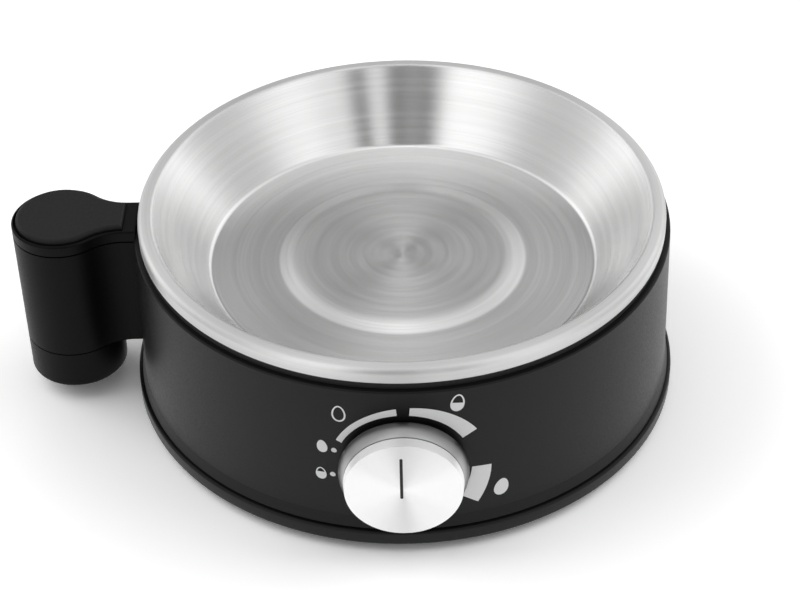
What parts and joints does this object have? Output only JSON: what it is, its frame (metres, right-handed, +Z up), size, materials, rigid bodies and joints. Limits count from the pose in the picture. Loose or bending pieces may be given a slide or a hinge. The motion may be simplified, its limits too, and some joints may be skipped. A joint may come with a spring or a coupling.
{
  "type": "electric egg cooker",
  "caption": "Round electric egg cooker base with a brushed steel water tray, a front hardness dial and a side grip.",
  "frame": {"origin": "on the tray's axis, in the plane of the floor that the feet stand on", "axes": "+Z up along the tray's axis; the dial faces -Y; the grip is at -X; the cord gland is at +Y"},
  "size_m": [0.2099, 0.1852, 0.0673],
  "materials": {
    "black_plastic": "satin moulded black",
    "tray_steel": "circular brushed stainless steel",
    "seal_silicone": "matt black silicone",
    "foot_rubber": "matt black rubber",
    "aluminium": "die cast",
    "plated_steel": "zinc plated",
    "element_steel": "oxidised tube",
    "ceramic": "unglazed steatite",
    "brass": "machined",
    "chrome": "polished chrome plate",
    "pointer_black": "matt inlaid paint",
    "control_plastic": "heat resisting moulding",
    "inlay_grey": "soft grained inlay",
    "lead_brown": "silicone insulation",
    "lead_blue": "silicone insulation",
    "lead_green": "silicone insulation",
    "fuse_case": "coated metal case"
  },
  "bodies": {
    "base": {"housing": "black_plastic", "bottom_cover": "black_plastic", "rubber_feet": "foot_rubber", "cover_screws": "plated_steel", "water_tray": "tray_steel", "tray_seal": "seal_silicone", "heat_spreader": "aluminium", "heating_element": "element_steel", "element_beads": "ceramic", "element_pins": "plated_steel", "tray_brackets": "plated_steel", "bracket_screws": "plated_steel", "thermal_fuse": "fuse_case", "fuse_clip": "plated_steel", "control_plate": "plated_steel", "control_body": "control_plastic", "control_bush": "brass", "control_nut": "plated_steel", "sensor_strap": "aluminium", "control_blades": "brass", "cord_gland": "black_plastic", "gland_nut": "black_plastic", "terminal_block": "ceramic", "terminal_barrels": "brass", "live_lead": "lead_brown", "element_lead": "lead_brown", "neutral_lead": "lead_blue", "earth_lead": "lead_green", "grip_body": "black_plastic", "grip_foot": "black_plastic", "grip_top": "black_plastic", "grip_inlay": "inlay_grey", "grip_screws": "plated_steel", "grip_foot_screw": "plated_steel"},
    "dial": {"knob_skirt": "chrome", "knob_cap": "chrome", "knob_pointer": "pointer_black", "control_shaft": "brass", "stop_collar": "plated_steel"},
    "adjuster": {"adjuster_pin": "brass"}
  },
  "joints": [
    {"name": "dial_turn", "type": "hinge", "parent": "base", "child": "dial", "pos_m": [0, -0.085, 0.0315], "axis": [0, 1, 0], "range_deg": [-100, 126]},
    {"name": "adjuster_feed", "type": "slide", "parent": "base", "child": "adjuster", "axis": [0, 1, 0], "range_m": [-0.0009, 0.0011]}
  ],
  "couplings": [
    {"joint": "adjuster_feed", "follows": "dial_turn", "m_per_rad": 0.00047746}
  ]
}
